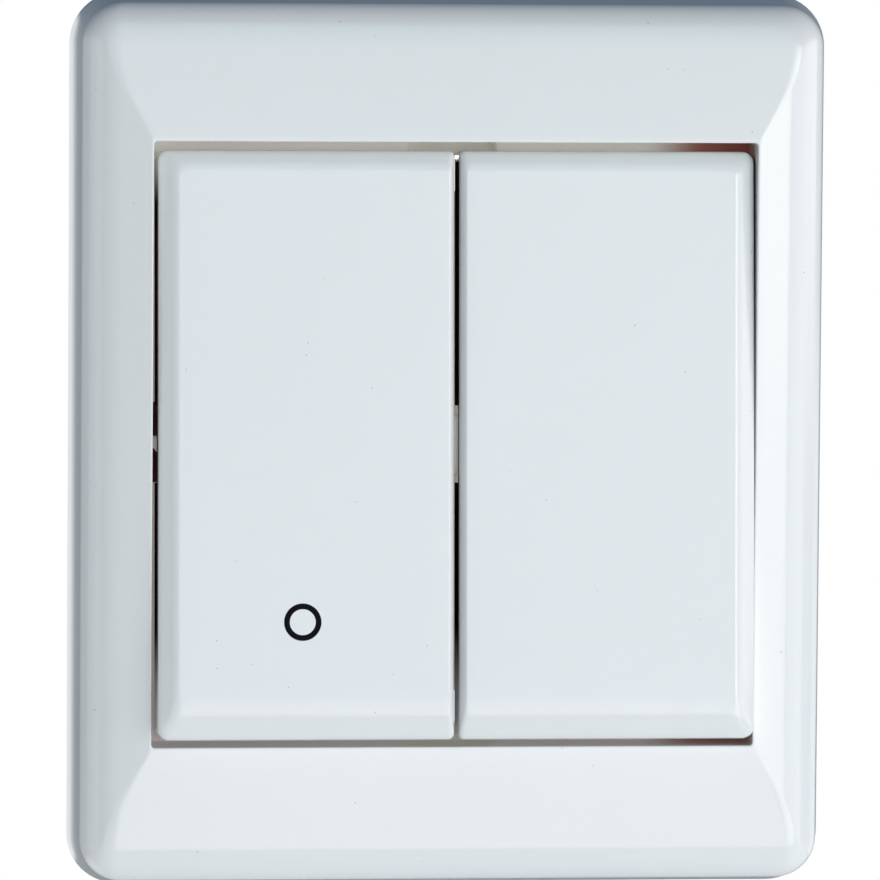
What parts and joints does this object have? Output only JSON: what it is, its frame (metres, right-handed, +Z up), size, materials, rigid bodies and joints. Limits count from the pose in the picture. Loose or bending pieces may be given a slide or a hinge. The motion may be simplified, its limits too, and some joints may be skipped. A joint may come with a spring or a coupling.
{
  "type": "double light switch",
  "caption": "Flush wall light switch with side-by-side glossy white rockers in a sloping frame, on an insert with tumblers, contact arms and screw terminals.",
  "frame": {"origin": "middle of the insert on the wall plane, midway between the two screw holes", "axes": "+Y into the wall, so the front faces -Y; +Z up; +X to the right as seen from the front"},
  "size_m": [0.085, 0.0337, 0.0999],
  "materials": {
    "gloss_white": "glossy moulded",
    "carrier_plastic": "satin moulded",
    "plate_steel": "galvanised sheet",
    "housing_plastic": "satin moulded",
    "tumbler_plastic": "satin moulded",
    "screw_steel": "zinc plated",
    "spring_steel": "drawn wire",
    "contact_brass": "stamped strip",
    "contact_silver": "silver contact",
    "mark_black": "printed mark"
  },
  "bodies": {
    "insert": {"cover_frame": "gloss_white", "rocker_carrier": "carrier_plastic", "mounting_plate": "plate_steel", "base_lid": "housing_plastic", "switch_base": "housing_plastic", "assembly_screws": "screw_steel", "fixed_buttons": "contact_silver", "clamp_plates": "screw_steel", "terminal_screws": "screw_steel", "upper_terminal_left": "contact_brass", "lower_terminal_left": "contact_brass", "common_terminal_left": "contact_brass", "upper_terminal_right": "contact_brass", "lower_terminal_right": "contact_brass", "common_terminal_right": "contact_brass"},
    "rocker_left": {"rocker_left": "gloss_white"},
    "tumbler_left": {"tumbler_left": "tumbler_plastic", "plunger_left": "tumbler_plastic", "spring_left": "spring_steel"},
    "contact_left": {"contact_arm_left": "contact_brass", "moving_buttons_left": "contact_silver"},
    "rocker_right": {"rocker_right": "gloss_white"},
    "tumbler_right": {"tumbler_right": "tumbler_plastic", "plunger_right": "tumbler_plastic", "spring_right": "spring_steel"},
    "contact_right": {"contact_arm_right": "contact_brass", "moving_buttons_right": "contact_silver"}
  },
  "joints": [
    {"name": "rocker_left_tilt", "type": "hinge", "parent": "insert", "child": "rocker_left", "pos_m": [-0.0168, -0.006, 0], "axis": [1, 0, 0], "range_deg": [0, 7]},
    {"name": "tumbler_left_tilt", "type": "hinge", "parent": "insert", "child": "tumbler_left", "pos_m": [-0.008, 0.003, 0], "axis": [1, 0, 0], "range_deg": [-14.1, 0]},
    {"name": "contact_left_tilt", "type": "hinge", "parent": "insert", "child": "contact_left", "pos_m": [-0.008, 0.0117, 0], "axis": [1, 0, 0], "range_deg": [0, 16.1]},
    {"name": "rocker_right_tilt", "type": "hinge", "parent": "insert", "child": "rocker_right", "pos_m": [0.0168, -0.006, 0], "axis": [1, 0, 0], "range_deg": [0, 7]},
    {"name": "tumbler_right_tilt", "type": "hinge", "parent": "insert", "child": "tumbler_right", "pos_m": [0.008, 0.003, 0], "axis": [1, 0, 0], "range_deg": [-14.1, 0]},
    {"name": "contact_right_tilt", "type": "hinge", "parent": "insert", "child": "contact_right", "pos_m": [0.008, 0.0117, 0], "axis": [1, 0, 0], "range_deg": [0, 16.1]}
  ],
  "couplings": [
    {"joint": "tumbler_left_tilt", "follows": "rocker_left_tilt", "ratio": -2},
    {"joint": "contact_left_tilt", "follows": "rocker_left_tilt", "ratio": 2.2857},
    {"joint": "tumbler_right_tilt", "follows": "rocker_right_tilt", "ratio": -2},
    {"joint": "contact_right_tilt", "follows": "rocker_right_tilt", "ratio": 2.2857}
  ]
}
